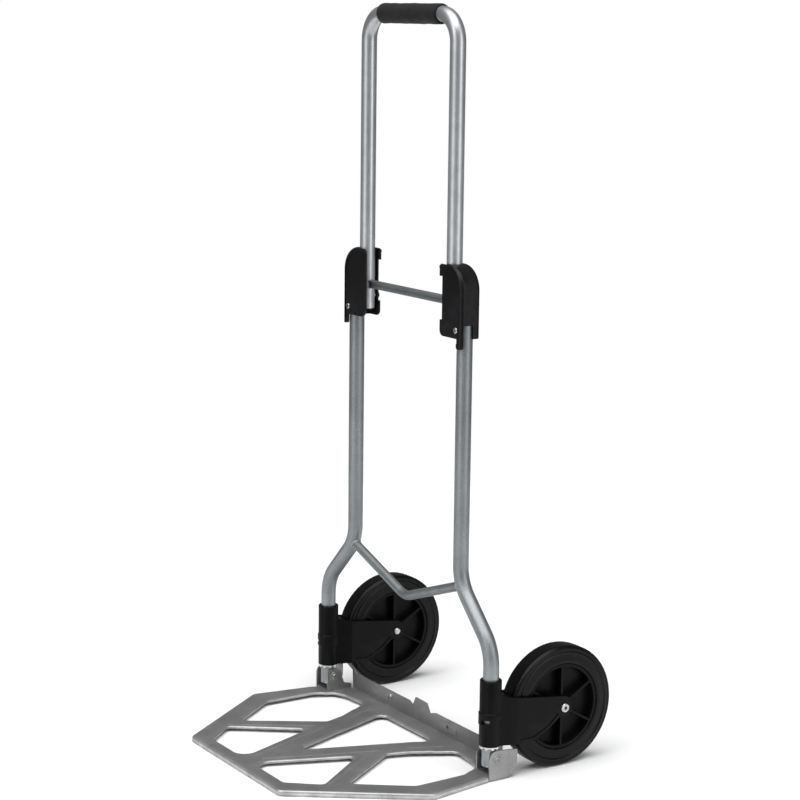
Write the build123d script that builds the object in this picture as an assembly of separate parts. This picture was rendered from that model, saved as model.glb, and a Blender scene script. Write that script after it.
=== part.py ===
from build123d import *
import os

# Folding luggage cart: two bent frame tubes, a telescoping handle held in two moulded housings,
# a fold-up pressed toe plate, and two wheels in moulded forks that swivel about the tube ends.
# X runs across the cart, -Y points to the toe plate, +Y to the wheels, Z up from the floor.
# The functions below model everything about the frame plane Y = 0. save() then moves each node by
# FRAME_PLANE_Y, which puts the origin under the middle of the whole object.

# ---- frame and handle tubes
TUBE_R = 10.5
TUBE_WALL = 1.5
HANDLE_HALF = 106.0         # centre of a handle leg from the middle of the cart
FRAME_HALF = 132.0          # centre of a frame tube's upper run
SWIVEL_HALF = 205.0         # centre of a frame tube's lower run, which is the fork's swivel axis
HANDLE_TOP_Z = 988.0
HANDLE_BEND_R = 36.0
LEG_BOTTOM_Z = 586.0
FRAME_TUBE_TOP_Z = 644.0
FRAME_TUBE_BOTTOM_Z = 19.0
UPPER_BEND_Z = 248.0        # corner of the outward bend
LOWER_BEND_Z = 175.0        # corner where the tube turns down again
FRAME_BEND_R = 55.0
CROSSBAR_Z = 620.0
CROSSBAR_HEIGHT = 11.0
CROSSBAR_DEPTH = 8.0
BRACE_R = 6.5
BRACE_END_Z = 245.5
BRACE_LOW_Z = 197.0
BRACE_BEND_R = 36.0
GRIP_R = 13.5
GRIP_HALF = 70.0
PLUG_DEPTH = 14.0

# ---- moulded housings that join the handle legs to the frame tubes
HOUSING_OUTER = 145.2
HOUSING_HALF_DEPTH = 15.6
HOUSING_TOP_Z = 670.0
HOUSING_BOTTOM_Z = 575.0
HOUSING_ARCH_R = 33.0
HOUSING_ROUND = 6.0         # rounding of the front and back edges over the top and the outer side
RIM_WIDTH = 6.0             # raised rim round the outer edge of each cheek
RIM_STEP = 0.8
CHEEK_WALL = 2.8
HOOKED_EDGE = 100.0         # inner edge of the hooked cheek between its hooks
HOOK_EDGE = 93.5
PLAIN_EDGE = 87.0
HOOK_LOW_Z = 597.0
HOOK_HIGH_Z = 653.0
FRONT_TAB_Z = 562.0
TAB_INNER = 134.0
SOCKET_INNER = 118.6        # inner side of the block that holds the frame tube
SOCKET_TOP_Z = 637.0
SIDE_CUT_TOP_Z = 593.0       # the cut in the outer side shows the frame tube
SIDE_CUT_BACK_Y = 3.8
SIDE_CUT_DEPTH = 8.0
TAB_DEPTH = 4.2
LEG_CLEARANCE = 0.35
RIVET_Z = 586.0
RIVET_R = 2.5

# ---- snap buttons that lock the handle
SNAP_Z = 603.0
SNAP_R = 4.0
SNAP_OUT = 12.6             # how far the button's tip stands from the leg's axis
RELEASE_R = 5.0
RELEASE_FACE = 17.6

# ---- wheel forks
SLEEVE_R = 14.5
SLEEVE_BOTTOM_Z = 45.5
SLEEVE_TOP_Z = 134.5
SLEEVE_BORE_R = TUBE_R + 0.08
BAND_R = 15.6
BAND_LOW_Z = 74.0
BAND_HIGH_Z = 91.0
TOOTH_COUNT = 10
WHEEL_REACH = 107.0         # hub axis behind the swivel axis
FORK_GAP_HALF = 17.2
FORK_HALF = 21.0
FORK_TOP_Z = 120.0
FORK_LOW_Z = 46.5
FORK_BOSS_R = 11.5
AXLE_R = 4.0
AXLE_HEAD_X = 23.4

# ---- wheels
WHEEL_R = 83.0
TYRE_HALF = 15.0
TYRE_INNER_R = 58.0
RIM_LIP_R = 54.0
HUB_BOSS_R = 14.0
HUB_HALF = 15.6
BUSH_R = 6.0
WEB_HALF = 1.6
RIB_COUNT = 6
RIB_HALF = 13.3

# ---- toe plate and its hinge
HINGE_Y = 2.0
HINGE_Z = 28.0
SHEET = 2.0
PLATE_TOP_Z = 8.0
RIM_FLANGE_Z = 2.5          # lower edge of the flange round each opening
JOGGLE_Y = -18.0            # behind this line the plate's top is a little lower
BACK_TOP_Z = PLATE_TOP_Z - 0.5
LIP_Y = 33.0
LIP_TOP_Z = 31.0
LIP_HOLE_X = 62.0
PLATE_BACK_Y = LIP_Y + SHEET / 2
EAR_INSIDE = 13.5           # from the tube's axis to an ear's inner face
EAR_WALL = 2.2
EAR_TOP_R = 13.0
INNER_EAR_R = 12.3
EAR_LOW_R = 20.0            # rounding of an ear's low back corner
OUTER_EAR_LOW_Z = 1.5       # the outer ear laps the plate's edge
HINGE_PIN_R = 3.0
PIN_HEAD_R = 4.8
PIN_HEAD = 2.2              # how far a head stands off its ear
PIN_FLANGE_R = 7.5
PIN_HOLE_R = HINGE_PIN_R + 0.08

# The plate's outline as (X, Y) corners on the +X side, and its openings as (X, Y, corner radius).
FRONT_CORNER = (121.0, -270.5)
SIDE_CORNER = (236.5, -109.0)
BACK_CORNER = (221.0, -12.0)
SIDE_OPENING = [(144.0, -181.0, 7.0), (196.5, -110.0, 7.0), (195.0, -34.0, 12.0), (180.0, -4.0, 14.0),
                (160.0, 4.0, 14.0), (118.0, 8.0, 12.0), (87.0, -49.0, 14.0), (77.5, -79.0, 7.0)]
FRONT_OPENING = [(97.0, -249.0, 7.0), (130.5, -209.0, 7.0), (64.0, -118.5, 6.0), (13.0, -249.0, 16.0)]
MIDDLE_OPENING = [(66.0, 6.0, 12.0), (-66.0, 6.0, 12.0), (0.0, -174.0, 6.0)]
PLATE_CORNER_R = 10.0

FRAME_PLANE_Y = -(FRONT_CORNER[1] + WHEEL_REACH + WHEEL_R) / 2


def save(shape, name):
    """Writes one node, moved so that the origin is under the middle of the whole cart."""
    shape = Pos(0, FRAME_PLANE_Y, 0) * shape
    shape.label = name
    export_step(shape, f"parts/{name}.step")


def both_sides(make, name):
    """Writes a piece made for the +X side and its mirror image."""
    right = make()
    save(right, f"{name}_right")
    save(mirror(right, about=Plane.YZ), f"{name}_left")


def pair(shape):
    """A piece and its mirror image as one group of separate solids."""
    return Compound(children=[*shape.solids(), *mirror(shape, about=Plane.YZ).solids()])


def tube_along(path, radius, wall=TUBE_WALL):
    """A round tube along a path in the frame plane."""
    start = Plane(origin=path @ 0, z_dir=path % 0)
    outside = sweep(start * Circle(radius), path)
    inside = sweep(start * Circle(radius - wall), path)
    return outside - inside


def rod(radius, start, end, axis):
    """A cylinder between two stations along X, Y or Z, centred on the other two axes."""
    turn = {"X": Rot(0, 90, 0), "Y": Rot(-90, 0, 0), "Z": Rot(0, 0, 0)}[axis]
    lift = turn * Pos(0, 0, start)
    return lift * Cylinder(radius, end - start, align=(Align.CENTER, Align.CENTER, Align.MIN))


def hinge_bore(radius):
    """A cylinder on the hinge axis, long enough to go through the bracket on the +X side."""
    return Pos(SWIVEL_HALF, HINGE_Y, HINGE_Z) * rod(radius, -25, 25, "X")


def slab(corners, low_z, high_z, radius=0.0):
    """A flat-sided prism on an (X, Y) outline, with its corners rounded."""
    outline = make_face(Polyline(*corners, close=True))
    if radius:
        outline = fillet(outline.vertices(), radius)
    return Pos(0, 0, low_z) * extrude(outline, high_z - low_z)


def rounded_face(corners):
    """A face on (x, y, corner radius) points."""
    face = make_face(Polyline(*[(x, y) for x, y, _ in corners], close=True))
    for x, y, radius in corners:
        corner = face.vertices().sort_by_distance((x, y, 0))[0]
        face = fillet(corner, radius)
    return face


def standing(face, low_y, high_y):
    """Stands an (X, Z) outline up as a prism from low_y to high_y."""
    return Pos(0, high_y, 0) * Rot(90, 0, 0) * extrude(face, high_y - low_y)


def upright(corners, low_y, high_y):
    """A prism on (X, Z) corners, from low_y to high_y."""
    return standing(make_face(Polyline(*corners, close=True)), low_y, high_y)


def lengthwise(face, low_x, high_x):
    """Stands a (Y, Z) outline up as a prism from low_x to high_x."""
    return extrude(Plane.YZ * face, high_x - low_x).moved(Location((low_x, 0, 0)))


# ---------------------------------------------------------------- frame and handle

def frame_tube_path():
    x_in, x_out = FRAME_HALF, SWIVEL_HALF
    return FilletPolyline(
        (x_out, 0, FRAME_TUBE_BOTTOM_Z), (x_out, 0, LOWER_BEND_Z), (x_in, 0, UPPER_BEND_Z),
        (x_in, 0, FRAME_TUBE_TOP_Z), radius=FRAME_BEND_R)


def frame_tube():
    """One bent side tube of the frame, drilled for its hinge pin and its housing rivet."""
    tube = tube_along(frame_tube_path(), TUBE_R)
    rivet_hole = Pos(FRAME_HALF, 0, RIVET_Z) * rod(RIVET_R + 0.1, -TUBE_R - 1, TUBE_R + 1, "Y")
    return tube - hinge_bore(PIN_HOLE_R) - rivet_hole


def solid_frame_tube():
    path = frame_tube_path()
    return sweep(Plane(origin=path @ 0, z_dir=path % 0) * Circle(TUBE_R), path)


def v_brace():
    """The V-shaped tube welded between the two frame tubes, with coped ends."""
    end_x = FRAME_HALF + 6
    path = FilletPolyline((-end_x, 0, BRACE_END_Z), (0, 0, BRACE_LOW_Z), (end_x, 0, BRACE_END_Z),
                          radius=BRACE_BEND_R)
    side = solid_frame_tube()
    return tube_along(path, BRACE_R, 1.2) - side - mirror(side, about=Plane.YZ)


def foot_plugs():
    """Domed plugs in the lower ends of the frame tubes, with the hinge pin's hole through them."""
    inner_r = TUBE_R - TUBE_WALL
    plug = rod(inner_r, FRAME_TUBE_BOTTOM_Z, FRAME_TUBE_BOTTOM_Z + 22, "Z")
    dome = rod(TUBE_R, FRAME_TUBE_BOTTOM_Z - 3, FRAME_TUBE_BOTTOM_Z, "Z")
    dome = fillet(dome.edges().sort_by(Axis.Z)[0], 2.6)
    plug = Pos(SWIVEL_HALF, 0, 0) * (plug + dome)
    return pair(plug - hinge_bore(PIN_HOLE_R))


def frame_top_plugs():
    """Plugs that close the upper ends of the frame tubes inside the housings."""
    shank = rod(TUBE_R - TUBE_WALL, FRAME_TUBE_TOP_Z - PLUG_DEPTH, FRAME_TUBE_TOP_Z, "Z")
    cap = rod(TUBE_R - 0.3, FRAME_TUBE_TOP_Z, FRAME_TUBE_TOP_Z + 2, "Z")
    return pair(Pos(FRAME_HALF, 0, 0) * (shank + cap))


def handle_tube():
    """The inverted-U handle, with a hole for the snap button at the back of each leg."""
    side = HANDLE_HALF
    path = FilletPolyline((-side, 0, LEG_BOTTOM_Z), (-side, 0, HANDLE_TOP_Z),
                          (side, 0, HANDLE_TOP_Z), (side, 0, LEG_BOTTOM_Z), radius=HANDLE_BEND_R)
    tube = tube_along(path, TUBE_R)
    hole = Pos(side, 0, SNAP_Z) * rod(SNAP_R + 0.25, 2, 20, "Y")
    return tube - hole - mirror(hole, about=Plane.YZ)


def foam_grip():
    """The foam sleeve on the handle's top run, with rounded ends."""
    sleeve = rod(GRIP_R, -GRIP_HALF, GRIP_HALF, "X")
    sleeve = fillet(sleeve.edges().filter_by(GeomType.CIRCLE), 2.4)
    return Pos(0, 0, HANDLE_TOP_Z) * (sleeve - rod(TUBE_R, -GRIP_HALF - 1, GRIP_HALF + 1, "X"))


def handle_crossbar():
    """The grooved rectangular bar welded between the handle's two legs."""
    bar = Box(2 * HANDLE_HALF, CROSSBAR_DEPTH, CROSSBAR_HEIGHT)
    bar = fillet(bar.edges().filter_by(Axis.X), 1.6)
    groove = Box(2 * HANDLE_HALF, 1.6, CROSSBAR_HEIGHT * 0.28)
    for face_y in (-CROSSBAR_DEPTH / 2, CROSSBAR_DEPTH / 2):
        bar -= Pos(0, face_y, 0) * groove
    bar = Pos(0, 0, CROSSBAR_Z) * bar
    for side in (-HANDLE_HALF, HANDLE_HALF):
        bar -= Pos(side, 0, 0) * rod(TUBE_R, CROSSBAR_Z - 20, CROSSBAR_Z + 20, "Z")
    return bar


def leg_plugs():
    """Plugs in the open lower ends of the handle's legs."""
    shank = rod(TUBE_R - TUBE_WALL, LEG_BOTTOM_Z, LEG_BOTTOM_Z + 7, "Z")
    cap = rod(TUBE_R - 0.5, LEG_BOTTOM_Z - 2, LEG_BOTTOM_Z, "Z")
    return pair(Pos(HANDLE_HALF, 0, 0) * (shank + cap))


# ---------------------------------------------------------------- housings

def cheek_outline(hooked):
    """The (X, Z) outline of one cheek, with its arched shoulder on the outer side."""
    top, bottom = HOUSING_TOP_Z, HOUSING_BOTTOM_Z
    corners = [(HOUSING_OUTER, bottom, 2.5), (HOUSING_OUTER, top, HOUSING_ARCH_R)]
    if hooked:
        corners += [(HOOK_EDGE, top, 4.5), (HOOK_EDGE, HOOK_HIGH_Z, 1.2), (HOOK_EDGE + 3, HOOK_HIGH_Z, 0.8),
                    (HOOKED_EDGE, HOOK_HIGH_Z + 3, 1.5), (HOOKED_EDGE, HOOK_LOW_Z - 2, 1.5),
                    (HOOK_EDGE + 1.5, HOOK_LOW_Z, 1.5), (HOOK_EDGE + 1.5, bottom, 8.0)]
    else:
        corners += [(PLAIN_EDGE, top, 9.0), (PLAIN_EDGE, bottom, 11.0)]
    return rounded_face(corners)


def housing_block():
    """Everything behind the cheeks on the +X side: outer wall, top, and the frame tube's socket."""
    depth = HOUSING_HALF_DEPTH - CHEEK_WALL
    whole = standing(cheek_outline(hooked=True), -depth, depth)
    inner_arch = CenterArc((HOUSING_OUTER - HOUSING_ARCH_R, HOUSING_TOP_Z - HOUSING_ARCH_R),
                           HOUSING_ARCH_R - CHEEK_WALL - 1.6, 0, 90)
    hollow_line = Polyline(inner_arch @ 1, (HOOK_EDGE - 2, (inner_arch @ 1).Y),
                           (HOOK_EDGE - 2, HOUSING_BOTTOM_Z - 2),
                           ((inner_arch @ 0).X, HOUSING_BOTTOM_Z - 2), inner_arch @ 0)
    hollow = standing(make_face([inner_arch, hollow_line]), -depth, depth)
    socket = upright([(SOCKET_INNER, HOUSING_BOTTOM_Z), (HOUSING_OUTER, HOUSING_BOTTOM_Z),
                      (HOUSING_OUTER, SOCKET_TOP_Z), (SOCKET_INNER, SOCKET_TOP_Z)], -depth, depth)
    arch_z, above = HOUSING_TOP_Z - HOUSING_ARCH_R, HOUSING_TOP_Z + 1
    open_top = upright([(HOOK_EDGE - 2, arch_z), (HANDLE_HALF, arch_z), (HANDLE_HALF, above),
                        (HOOK_EDGE - 2, above)], -depth, depth)
    return whole - hollow - open_top + socket


def rounded_envelope():
    """A block with the housing's arch, rounded over its top and outer side, which trims the housing."""
    arch_x, arch_z = HOUSING_OUTER - HOUSING_ARCH_R, HOUSING_TOP_Z - HOUSING_ARCH_R
    arch = CenterArc((arch_x, arch_z), HOUSING_ARCH_R, 0, 90)
    low_z, inner_x = FRONT_TAB_Z - 10, PLAIN_EDGE - 10
    rest = Polyline((arch_x, HOUSING_TOP_Z), (inner_x, HOUSING_TOP_Z), (inner_x, low_z),
                    (HOUSING_OUTER, low_z), (HOUSING_OUTER, arch_z))
    block = standing(make_face([arch, rest]), -HOUSING_HALF_DEPTH, HOUSING_HALF_DEPTH)
    boxes = [(edge, edge.bounding_box()) for edge in block.edges()]
    along = [edge for edge, box in boxes
             if box.size.Y < 1 and box.max.X > PLAIN_EDGE and box.max.Z > arch_z - 1]
    return fillet(along, HOUSING_ROUND)


def sunk_panel(hooked, low_y, high_y):
    """The part of a cheek that is sunk inside its raised rim."""
    return Pos(-RIM_WIDTH, 0, -RIM_WIDTH) * standing(cheek_outline(hooked), low_y, high_y)


def side_cut():
    """The cut in the outer side, open at the bottom."""
    inner, low, front = HOUSING_OUTER - SIDE_CUT_DEPTH, HOUSING_BOTTOM_Z - 10, TAB_DEPTH - HOUSING_HALF_DEPTH
    cut = upright([(inner, low), (HOUSING_OUTER + 1, low), (HOUSING_OUTER + 1, SIDE_CUT_TOP_Z),
                   (inner, SIDE_CUT_TOP_Z)], front, SIDE_CUT_BACK_Y)
    return fillet(cut.edges().filter_by(Axis.X), 2.0)


def front_tab():
    """The tab that runs down from the front cheek over the frame tube."""
    front = -HOUSING_HALF_DEPTH
    tab = upright([(TAB_INNER, FRONT_TAB_Z), (HOUSING_OUTER, FRONT_TAB_Z),
                   (HOUSING_OUTER, SIDE_CUT_TOP_Z), (TAB_INNER, SIDE_CUT_TOP_Z)], front, front + TAB_DEPTH)
    return fillet(tab.edges().filter_by(Axis.Y).group_by(Axis.Z)[0], 3.0)


def housing_body(front_hooked):
    """A whole housing for the +X side, before it is parted into its two shells."""
    outer, wall = HOUSING_HALF_DEPTH, CHEEK_WALL
    body = housing_block()
    body += standing(cheek_outline(front_hooked), -outer, wall - outer)
    body += standing(cheek_outline(not front_hooked), outer - wall, outer)
    body = body - side_cut() + front_tab()
    body &= rounded_envelope()
    body -= sunk_panel(front_hooked, -outer - 1, RIM_STEP - outer)
    body -= sunk_panel(not front_hooked, outer - RIM_STEP, outer + 1)
    below, above = FRONT_TAB_Z - 10, HOUSING_TOP_Z + 10
    body -= Pos(HANDLE_HALF, 0, 0) * rod(TUBE_R + LEG_CLEARANCE, below, above, "Z")
    body -= Pos(FRAME_HALF, 0, 0) * rod(TUBE_R, below, FRAME_TUBE_TOP_Z + 3, "Z")
    body -= Pos(FRAME_HALF, 0, RIVET_Z) * rod(RIVET_R + 0.1, -outer, outer, "Y")
    body -= Pos(HANDLE_HALF, 0, SNAP_Z) * rod(RELEASE_R + 0.15, outer - wall - 1, outer + 1, "Y")
    return body


def housing_shells(front_hooked):
    """The front and back shells, which meet in the frame plane."""
    body = housing_body(front_hooked)
    half = Box(200, 50, 400, align=(Align.CENTER, Align.MAX, Align.CENTER))
    front = body & Pos(HANDLE_HALF, 0, HOUSING_BOTTOM_Z) * half
    return front, body - front


def housing_rivets():
    """One rivet through each housing and frame tube, from front to back."""
    face = HOUSING_HALF_DEPTH - RIM_STEP
    shank = rod(RIVET_R, -face, face, "Y")
    heads = rod(4.0, -face - 1.5, -face, "Y") + rod(4.0, face, face + 1.5, "Y")
    rounded = fillet(heads.edges().group_by(Axis.Y)[0], 1.2)
    rounded = fillet(rounded.edges().group_by(Axis.Y)[-1], 1.2)
    return pair(Pos(FRAME_HALF, 0, RIVET_Z) * (shank + rounded))


def release_button():
    """The button in a housing's back cheek, which presses the leg's snap button inwards."""
    inner_face = HOUSING_HALF_DEPTH - CHEEK_WALL
    button = rod(RELEASE_R, inner_face, RELEASE_FACE, "Y")
    button = fillet(button.edges().group_by(Axis.Y)[-1], 1.2)
    return Pos(HANDLE_HALF, 0, SNAP_Z) * button


def snap_button():
    """The domed button that stands out of the back of a handle leg."""
    button = rod(SNAP_R, 6.0, SNAP_OUT, "Y")
    button = fillet(button.edges().group_by(Axis.Y)[-1], 2.0)
    return Pos(HANDLE_HALF, 0, SNAP_Z) * button


def snap_spring():
    """The bent leaf inside a handle leg that pushes its snap button out."""
    path = FilletPolyline((HANDLE_HALF, 2.9, SNAP_Z - 5), (HANDLE_HALF, 2.9, SNAP_Z + 6),
                          (HANDLE_HALF, -5.2, SNAP_Z + 30), (HANDLE_HALF, -7.6, SNAP_Z - 4),
                          radius=2.5)
    profile = Plane(origin=path @ 0, z_dir=path % 0, x_dir=(1, 0, 0)) * Rectangle(5, 0.6)
    return sweep(profile, path, transition=Transition.ROUND)


# ---------------------------------------------------------------- forks and wheels

def side_arm_outline():
    """The (Y, Z) outline of a fork's cheek: a tapered arm that ends round the axle."""
    hub = Pos(WHEEL_REACH, WHEEL_R) * Circle(FORK_BOSS_R)
    shoulder = Pos(WHEEL_REACH - 1, WHEEL_R + 6.5) * Circle(9.5)
    low_bend, high_bend = (56, FORK_LOW_Z), (80, 58)
    arm = make_face(Polyline((0, FORK_LOW_Z), low_bend, high_bend, (100, WHEEL_R - 10),
                             (WHEEL_REACH + 6, WHEEL_R - 4), (WHEEL_REACH + 4, WHEEL_R + 8),
                             (WHEEL_REACH - 1, WHEEL_R + 16), (18, 111), (0, FORK_TOP_Z), close=True))
    for bend in (low_bend, high_bend):
        arm = fillet(arm.vertices().sort_by_distance((*bend, 0))[0], 16)
    return hub + shoulder + arm


def wheel_fork():
    """The moulded fork: a sleeve round the frame tube, a bridge and two cheeks."""
    plan = slab([(-SLEEVE_R + 1, 0), (-SLEEVE_R, 8), (-FORK_HALF, 28), (-FORK_HALF, 125), (FORK_HALF, 125),
                 (FORK_HALF, 28), (SLEEVE_R, 8), (SLEEVE_R - 1, 0)], 30, 140)
    arm = plan & lengthwise(side_arm_outline(), -30, 30)
    relief = make_face(Polyline((34, 70), (92, 79.5), (97, 75.5), (80, 62), (57, 50.5), (34, 50.5), close=True))
    relief = fillet(relief.vertices(), 1.6)
    for face_x in (-FORK_HALF, FORK_HALF - 1.2):
        arm -= lengthwise(relief, face_x, face_x + 1.2)
    wheel_space = Pos(0, WHEEL_REACH, WHEEL_R) * rod(WHEEL_R + 2, -FORK_GAP_HALF, FORK_GAP_HALF, "X")
    sleeve = rod(SLEEVE_R, SLEEVE_BOTTOM_Z, SLEEVE_TOP_Z, "Z")
    sleeve = chamfer(sleeve.edges().filter_by(GeomType.CIRCLE), 0.8)
    band = chamfer(rod(BAND_R, BAND_LOW_Z, BAND_HIGH_Z, "Z").edges().filter_by(GeomType.CIRCLE), 0.9)
    fork = arm - wheel_space + sleeve + band
    fork -= rod(SLEEVE_BORE_R, 0, 160, "Z")
    window = Rot(0, 0, -60) * Pos(12, 0, 79.5) * Box(12, 11.5, 5.5)
    fork -= window
    fork -= Pos(0, WHEEL_REACH, WHEEL_R) * rod(AXLE_R, -30, 30, "X")
    return Pos(SWIVEL_HALF, 0, 0) * fork


def axle():
    """The hollow rivet that the wheel turns on: a dome inside, a rolled rim outside."""
    shank = rod(AXLE_R, -FORK_HALF, FORK_HALF, "X")
    dome = rod(4.9, -AXLE_HEAD_X, -FORK_HALF, "X")
    dome = fillet(dome.edges().group_by(Axis.X)[0], 2.0)
    rim = rod(6.2, FORK_HALF, AXLE_HEAD_X - 0.6, "X")
    rim = fillet(rim.edges().group_by(Axis.X)[-1], 1.2)
    bore = rod(2.4, -10, AXLE_HEAD_X, "X")
    return Pos(SWIVEL_HALF, WHEEL_REACH, WHEEL_R) * (shank + dome + rim - bore)


def axle_washers():
    """A thin washer on the axle each side of the hub."""
    ring = rod(9.0, HUB_HALF + 0.3, FORK_GAP_HALF, "X") - rod(AXLE_R, 0, 30, "X")
    both = Compound(children=[*ring.solids(), *mirror(ring, about=Plane.YZ).solids()])
    return Pos(SWIVEL_HALF, WHEEL_REACH, WHEEL_R) * both


def ring_from(profile_face):
    """Turns an (X, radius) outline round the wheel's own axis."""
    return revolve(profile_face, Axis.X)


def tyre():
    """A solid tyre with a flat tread and rounded shoulders, keyed on the rim."""
    outline = make_face(Polyline((-TYRE_HALF + 1.5, TYRE_INNER_R), (-TYRE_HALF, TYRE_INNER_R + 3),
                                 (-TYRE_HALF, WHEEL_R - 7), (-TYRE_HALF + 5, WHEEL_R), (TYRE_HALF - 5, WHEEL_R),
                                 (TYRE_HALF, WHEEL_R - 7), (TYRE_HALF, TYRE_INNER_R + 3),
                                 (TYRE_HALF - 1.5, TYRE_INNER_R), close=True))
    corners = [v for v in outline.vertices() if v.Y > WHEEL_R - 8]
    outline = fillet(corners, 3.2)
    return Pos(SWIVEL_HALF, WHEEL_REACH, WHEEL_R) * ring_from(outline)


def wheel_rim():
    """The moulded rim: an outer ring, a thin web, ribs on both faces and a bored hub."""
    ring = rod(TYRE_INNER_R, 1.5 - TYRE_HALF, TYRE_HALF - 1.5, "X") - rod(RIM_LIP_R, -20, 20, "X")
    web = rod(RIM_LIP_R + 1, -WEB_HALF, WEB_HALF, "X")
    hub = rod(HUB_BOSS_R, -HUB_HALF, HUB_HALF, "X")
    rim = ring + web + chamfer(hub.edges().filter_by(GeomType.CIRCLE), 0.8)
    for index in range(RIB_COUNT):
        rib = Pos(0, 0, (HUB_BOSS_R + RIM_LIP_R) / 2) * Box(2 * RIB_HALF, 3.0, RIM_LIP_R - HUB_BOSS_R + 4)
        rim += Rot(index * 360 / RIB_COUNT, 0, 0) * rib
    rim -= rod(BUSH_R, -20, 20, "X")
    return Pos(SWIVEL_HALF, WHEEL_REACH, WHEEL_R) * rim


def hub_bush():
    """The plain bearing bush between a hub and its axle."""
    bush = rod(BUSH_R, -HUB_HALF, HUB_HALF, "X") - rod(AXLE_R + 0.07, -20, 20, "X")
    return Pos(SWIVEL_HALF, WHEEL_REACH, WHEEL_R) * bush


def sleeve_washers():
    """Toothed washers fixed on the frame tubes, on which the forks rest."""
    low_z = SLEEVE_BOTTOM_Z - 2.0
    ring = rod(14.2, low_z, SLEEVE_BOTTOM_Z - 0.3, "Z")
    for index in range(TOOTH_COUNT):
        tooth = Pos(12.4, 0, low_z - 0.9) * Box(2.8, 3.4, 2.2)
        ring += Rot(0, 0, (index + 0.5) * 360 / TOOTH_COUNT) * tooth
    return pair(Pos(SWIVEL_HALF, 0, 0) * (ring - rod(TUBE_R, 0, 60, "Z")))


# ---------------------------------------------------------------- toe plate

def mirrored_corners(corners):
    """Corners on the +X side, then their mirror images in reverse, as one closed outline."""
    return corners + [(-x, y) for x, y in reversed(corners)]


def plate_outline():
    ear_inner = SWIVEL_HALF + EAR_INSIDE
    corners = mirrored_corners([FRONT_CORNER, SIDE_CORNER, BACK_CORNER, (ear_inner, BACK_CORNER[1]),
                                (ear_inner, HINGE_Y + 12), (186.0, PLATE_BACK_Y)])
    face = make_face(Polyline(*corners, close=True))
    front = [v for v in face.vertices() if v.Y < BACK_CORNER[1] - 1]
    return fillet(front, PLATE_CORNER_R)


def plate_openings():
    middle = rounded_face(MIDDLE_OPENING)
    side = rounded_face(SIDE_OPENING)
    front = rounded_face(FRONT_OPENING)
    return [middle, side, mirror(side, about=Plane.YZ), front, mirror(front, about=Plane.YZ)]


def toe_plate():
    """The pressed plate: flanged down round its edge and round each opening."""
    outline = plate_outline()
    skirt = extrude(outline, PLATE_TOP_Z)
    inside = extrude(offset(outline, -SHEET), PLATE_TOP_Z - SHEET)
    plate = skirt - inside
    openings = plate_openings()
    for face in openings:
        collar = extrude(offset(face, SHEET, kind=Kind.ARC), PLATE_TOP_Z - RIM_FLANGE_Z)
        plate += Pos(0, 0, RIM_FLANGE_Z) * collar
    for face in openings:
        plate -= Pos(0, 0, -1) * extrude(face, PLATE_TOP_Z + 2)
    plate -= Pos(0, LIP_Y, 0) * Box(500, 2 * SHEET + 6, 2 * (PLATE_TOP_Z - SHEET))
    plate -= slab([(-260, JOGGLE_Y), (260, JOGGLE_Y), (260, 60), (-260, 60)], BACK_TOP_Z, PLATE_TOP_Z + 1)
    return plate


def back_lip():
    """The upturned strip along the plate's back edge, with pointed ends, a raised tab and two pads."""
    half, horn_z = 186.0, LIP_TOP_Z + 6
    strip = upright([(-half, BACK_TOP_Z), (half, BACK_TOP_Z), (half + 2.5, horn_z), (half - 9, LIP_TOP_Z),
                     (30, LIP_TOP_Z), (16, LIP_TOP_Z - 4), (8, LIP_TOP_Z + 8), (-20, LIP_TOP_Z + 9),
                     (-27, LIP_TOP_Z - 4), (-36, LIP_TOP_Z), (9 - half, LIP_TOP_Z), (-half - 2.5, horn_z)],
                    LIP_Y - SHEET / 2, LIP_Y + SHEET / 2)
    face_y = LIP_Y - SHEET / 2
    for centre, half_width in ((-112, 22), (LIP_HOLE_X, 20)):
        pad = upright([(centre - half_width, 13), (centre + half_width, 13), (centre + half_width, 22),
                       (centre, 28), (centre - half_width, 22)], face_y - 1.2, face_y)
        strip += chamfer(pad.edges().group_by(Axis.Y)[0], 0.6)
    return strip - Pos(LIP_HOLE_X, LIP_Y, 20) * rod(3, -6, SHEET / 2 - 0.6, "Y")


def outer_ear_outline():
    """The (Y, Z) outline of an outer ear: round over the pin and running back to the lip."""
    top = Pos(HINGE_Y, HINGE_Z) * Circle(EAR_TOP_R)
    front = HINGE_Y - EAR_TOP_R
    plate = rounded_face([(front, OUTER_EAR_LOW_Z, 1.0), (LIP_Y + 1, OUTER_EAR_LOW_Z, EAR_LOW_R),
                          (LIP_Y + 1, 38, 2.0), (HINGE_Y, HINGE_Z + EAR_TOP_R, 1.0), (front, HINGE_Z, 1.0)])
    return top + plate


def inner_ear_outline():
    """The (Y, Z) outline of an inner ear: a lobe round the pin that falls away towards the lip."""
    lobe = Pos(HINGE_Y, HINGE_Z) * Circle(INNER_EAR_R)
    front, back = HINGE_Y - INNER_EAR_R, HINGE_Y + INNER_EAR_R
    low = BACK_TOP_Z
    return lobe + rounded_face([(front, low, 1.0), (LIP_Y - SHEET, low, 1.0), (LIP_Y - SHEET, low + 6, 3.0),
                                (back + 4, low + 9, 5.0), (back, HINGE_Z, 1.0), (front, HINGE_Z, 1.0)])


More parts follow.
